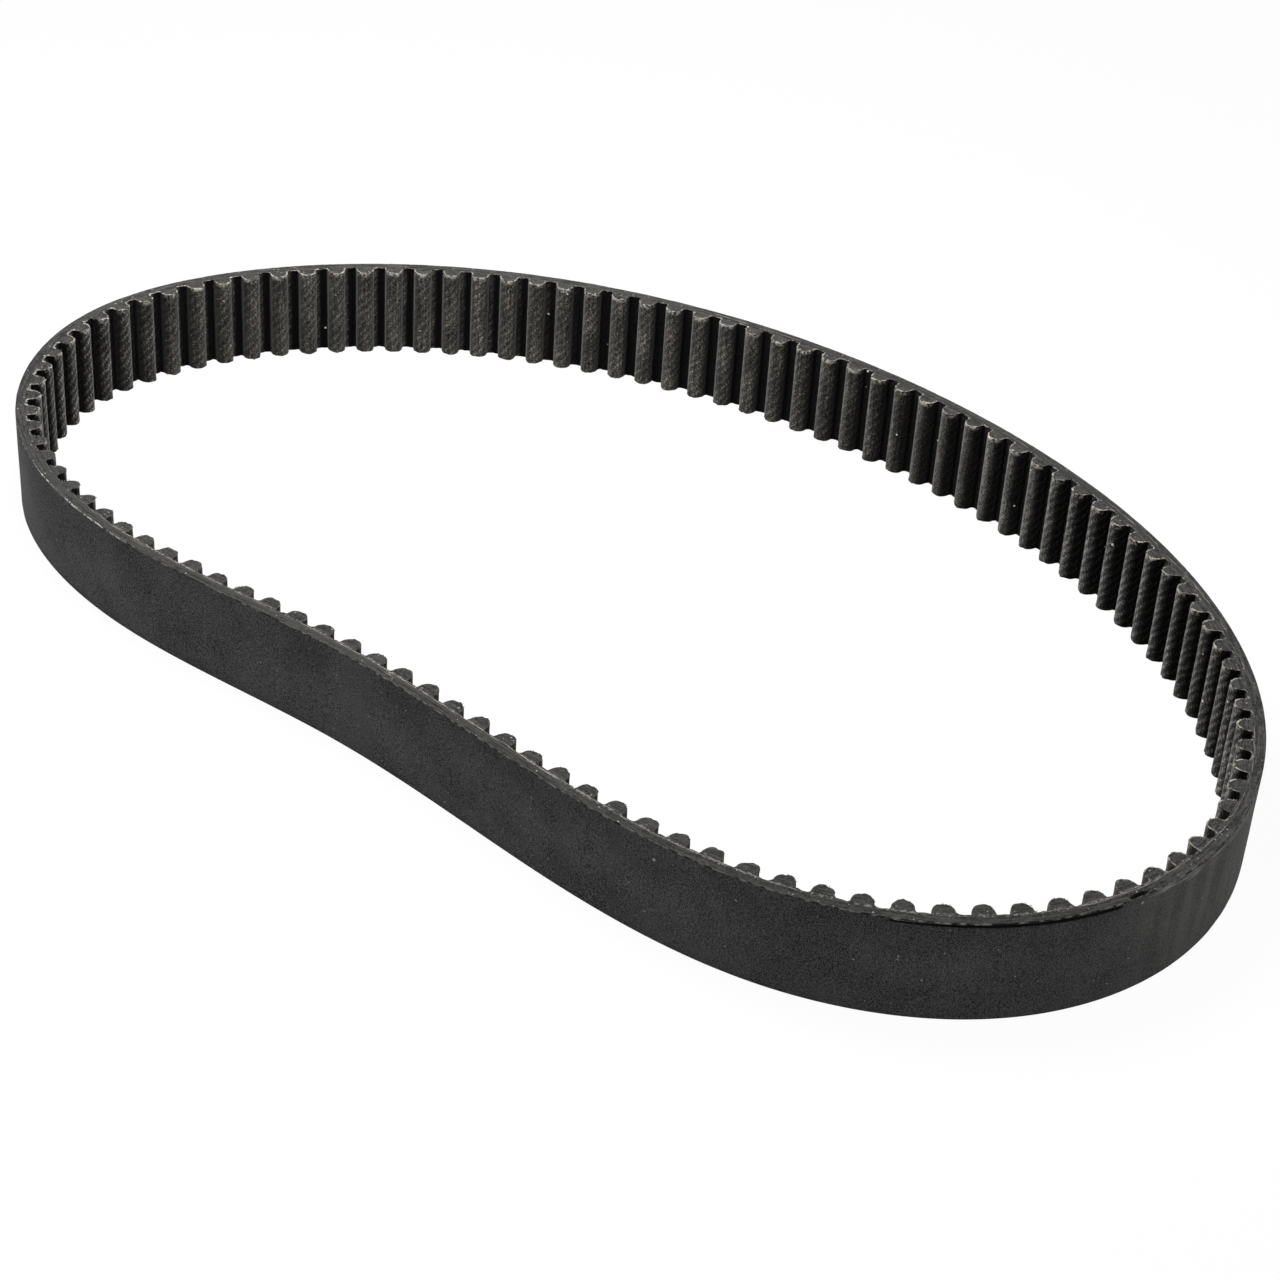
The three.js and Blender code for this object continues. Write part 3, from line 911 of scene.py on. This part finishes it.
BURR = {"rows": 3, "height": 0.036 * MM, "at": BACK_INSIDE + 0.1 * MM, "reach": 0.08 * MM,
        "uneven": [(41, 0.03 * MM, 0.5 * MM), (42, 0.03 * MM, 3 * MM)]}
TORN = {"from": 13.5, "to": 19.3, "fade": 0.4, "height": 0.1 * MM, "uneven": [(43, 0.1 * MM, 0.6 * MM)]}
SPLIT = {"from": 45.2, "to": 51.05, "fade": 0.12, "height": 14.62 * MM, "fall": 0.14 * MM,
         "half": 0.1 * MM, "growth": 0.12 * MM, "flatness": 1.5, "depth": 0.55 * MM,
         "lip": 0.1 * MM, "lip_at": 0.12 * MM, "lip_half": 0.2 * MM}
NICK = {"at": 51.58, "reach": 0.27, "inside": -0.7 * MM, "half": 0.34 * MM, "flatness": 1.2,
        "depth": 0.6 * MM, "uneven": [(44, 0.5, 0.5 * MM)]}


def between(tooth, ends):
    """One between two teeth, fading to nought past them."""
    inner = np.clip((tooth - ends["from"]) / ends["fade"], 0, 1)
    return inner * np.clip((ends["to"] - tooth) / ends["fade"], 0, 1)


def split_depth(tooth, height):
    """The split under the upper corner. It widens and sinks as it runs, ends at once, and has a low lip."""
    grown = np.clip((tooth - SPLIT["from"]) / (SPLIT["to"] - SPLIT["from"]), 0, 1)
    off = height - (SPLIT["height"] - SPLIT["fall"] * grown)
    half = SPLIT["half"] + SPLIT["growth"] * grown ** 0.7
    groove = np.clip(SPLIT["flatness"] - np.abs(off) / half, 0, 1)
    lip = np.clip(1 - np.abs(off - half - SPLIT["lip_at"]) / SPLIT["lip_half"], 0, 1)
    return between(tooth, SPLIT) * (SPLIT["depth"] * groove - SPLIT["lip"] * lip)


def nick_height(along, inside):
    """The gouge in the cut face just past the split."""
    from_middle = (along / PITCH - NICK["at"]) / NICK["reach"]
    across = (inside - NICK["inside"]) / NICK["half"]
    level = NICK["flatness"] - from_middle ** 2 - across ** 2 + rough(NICK["uneven"], along, inside)
    return -NICK["depth"] * np.clip(level, 0, 1)


def burr_height(along, inside):
    """The lip that the knife and the grinding leave along the back's corner, higher where it is torn."""
    corner = np.exp(-np.abs(inside - BURR["at"]) / BURR["reach"])
    lip = BURR["height"] + rough(BURR["uneven"], along, 0)
    torn = between(along / PITCH, TORN) * (TORN["height"] + rough(TORN["uneven"], along, 0))
    return corner * (lip + torn)


def backing_mesh():
    along = np.arange(0, LENGTH - BACK_STEP / 2, BACK_STEP)[:, None]
    back_in = BACK_INSIDE + rough(BACK_UNEVEN, along, BACK_ROWS) + split_depth(along / PITCH, BACK_ROWS)
    edge_in = np.broadcast_to(EDGE_ROWS, (len(along), len(EDGE_ROWS)))
    upper = cut_height(along, edge_in, True) + burr_height(along, edge_in) + nick_height(along, edge_in)
    lower = cut_height(along, edge_in, False)
    points = np.concatenate([in_place(along, back_in, BACK_ROWS), in_place(along, edge_in, upper),
                             in_place(along, edge_in, lower)[:, ::-1]], 1)
    belt = np.zeros_like(points)
    belt[..., 0] = along
    belt[..., 1] = np.concatenate([back_in, edge_in, edge_in[:, ::-1]], 1)
    belt[..., 2] = points[..., 2]
    finishes = np.zeros(points.shape[1])
    finishes[len(BACK_ROWS):-1] = 1
    finishes[len(BACK_ROWS) - 2:][:BURR["rows"]] = 2
    return ring_mesh("rubber_back", points, belt, LENGTH, finishes)


BACK_DARK = (0.002, 0.002, 0.0021, 1)
BACK_LIGHT = (0.062, 0.062, 0.0615, 1)
# The dust colour is also the painted highlight on the split's lip.
BACK_DUST_AND_HIGHLIGHT = (0.26, 0.26, 0.245, 1)
# The rubbed colour is also the burr's painted highlight, and the torn colour its brighter painted
# highlight.
BACK_RUBBED_AND_HIGHLIGHT = (0.11, 0.104, 0.094, 1)
BACK_TORN_HIGHLIGHT = (0.55, 0.54, 0.5, 1)
LIP_HIGHLIGHT_REACH = (BACK_INSIDE - 0.08 * MM, BACK_INSIDE - 0.04 * MM)
SPLIT_SHADE_REACH = (BACK_INSIDE + 0.05 * MM, BACK_INSIDE + 0.12 * MM)
BACK_SPECKS = [(0.9 * MM, 0.1 * MM, 0.16, 0.6), (6 * MM, 0.2 * MM, 0.4, 0.8)]
RUBBED_TEETH = (50.3, 53.5), (62, 70)
SCRATCHED_TEETH = (51.2, 52.5), (62, 70)
TORN_HIGHLIGHT_TEETH = (13.5, 14.0), (18.6, 19.3)
SCUFF = {"teeth": ((33.3, 33.5), (37, 38)), "bend": (33.5, 36), "levels": (8.9 * MM, 7.4 * MM),
         "half": 0.12 * MM}


def scuff_mask(tree, tooth, height, place):
    """A faint curved rub mark on the back: it comes down to one level and runs on along it."""
    level = ramp(tree, tooth, *SCUFF["bend"], *SCUFF["levels"])
    off = maths(tree, "ABSOLUTE", maths(tree, "SUBTRACT", height, level))
    near = ramp(tree, off, 0.0, SCUFF["half"], to_low=1.0, to_high=0.0)
    broken = ramp(tree, noise(tree, place, 0.6 * MM, seed=8.0), 0.4, 0.6)
    return product(tree, near, band(tree, tooth, *SCUFF["teeth"]), broken)


def back_material():
    """A fine even grain with specks of dust. At the right end it is rubbed grey and scratched."""
    made = bpy.data.materials.new("ground_rubber")
    tree = empty_tree(made)
    along, inside, height, place = belt_places(tree)
    tooth = maths(tree, "DIVIDE", along, PITCH)
    grain = use(tree, GRAIN, [("Place", place), ("Size", 0.14 * MM)])
    clouds = ramp(tree, noise(tree, place, 9 * MM, detail=3), 0.3, 0.7)
    tone = maths(tree, "ADD", product(tree, clouds, 0.25),
                 product(tree, ramp(tree, grain, 0.45, 0.55), 0.8))
    # Painted light: the back is lighter towards the bottom, where the floor throws light back, and darker
    # towards the top.
    tone = product(tree, tone, ramp(tree, height, 0.5 * MM, 4 * MM, to_low=1.4),
                   ramp(tree, height, 6 * MM, 14 * MM, to_low=1.0, to_high=0.84))
    color = mix_colors(tree, tone, BACK_DARK, BACK_LIGHT)
    drawn = use(tree, DRAWN, [("Along", along), ("Loop", LENGTH), ("Across", height),
                              ("Along Size", 1.6 * MM), ("Across Size", 14 * MM)])
    streaks = ramp(tree, drawn, 0.3, 0.75, to_low=0.25)
    grey = mix_colors(tree, ramp(tree, grain, 0.42, 0.58), BACK_LIGHT, BACK_RUBBED_AND_HIGHLIGHT)
    color = mix_colors(tree, product(tree, streaks, band(tree, tooth, *RUBBED_TEETH), 0.6), color, grey)
    scuffed = product(tree, scuff_mask(tree, tooth, height, place), 0.5)
    color = mix_colors(tree, scuffed, color, BACK_RUBBED_AND_HIGHLIGHT)
    drawn = use(tree, DRAWN, [("Along", along), ("Loop", LENGTH), ("Across", height),
                              ("Along Size", 5 * MM), ("Across Size", 0.16 * MM)])
    by_corner = ramp(tree, height, WIDTH - 2.2 * MM, WIDTH - 0.3 * MM)
    scratched = product(tree, ramp(tree, drawn, 0.5, 0.68), by_corner, band(tree, tooth, *SCRATCHED_TEETH))
    color = mix_colors(tree, scratched, color, BACK_DUST_AND_HIGHLIGHT)
    for spacing, size, share, strength in BACK_SPECKS:
        specks = use(tree, DUST, [("Place", place), ("Spacing", spacing), ("Size", size), ("Share", share)])
        color = mix_colors(tree, product(tree, specks, strength), color, BACK_DUST_AND_HIGHLIGHT)
    # Painted highlight: the split's raised lip is painted pale in broken patches.
    lip = product(tree, ramp(tree, inside, *LIP_HIGHLIGHT_REACH, to_low=0.9, to_high=0.0),
                  ramp(tree, noise(tree, place, 0.8 * MM, seed=5.0), 0.35, 0.55))
    color = mix_colors(tree, lip, color, BACK_DUST_AND_HIGHLIGHT)
    # Painted shade: the split, deeper than the back, is painted near black.
    color = mix_colors(tree, ramp(tree, inside, *SPLIT_SHADE_REACH), color, PAINTED_SHADE_BLACK)
    principled(tree, color, bump(tree, grain, 0.03 * MM), roughness=0.85, specular=0.12, sheen=0.03)
    return made


def burr_material():
    """The lip along the back's upper corner, painted paler than the ground back as a highlight along the
    corner, and painted brighter still where it is torn.
    """
    made = bpy.data.materials.new("burred_rubber")
    tree = empty_tree(made)
    along, _, _, place = belt_places(tree)
    # Painted highlight: the burr is painted pale in broken streaks, and brighter where it is torn.
    thin = ramp(tree, noise(tree, place, 1.1 * MM, detail=3, seed=3.0), 0.4, 0.65)
    color = mix_colors(tree, thin, BACK_DARK, BACK_RUBBED_AND_HIGHLIGHT)
    torn = product(tree, band(tree, maths(tree, "DIVIDE", along, PITCH), *TORN_HIGHLIGHT_TEETH),
                   ramp(tree, noise(tree, place, 0.5 * MM, detail=3, seed=6.0), 0.42, 0.6),
                   ramp(tree, noise(tree, place, 5 * MM, seed=3.0), 0.4, 0.6, to_low=0.25))
    color = mix_colors(tree, torn, color, BACK_TORN_HIGHLIGHT)
    normal = bump(tree, noise(tree, place, 0.1 * MM), 0.03 * MM)
    principled(tree, color, normal, roughness=0.85, specular=0.12, sheen=0.03)
    return made


dress("rubber_back", backing_mesh(), [back_material(), CUT_RUBBER, burr_material()], "backing_rubber",
      "backing_rubber")
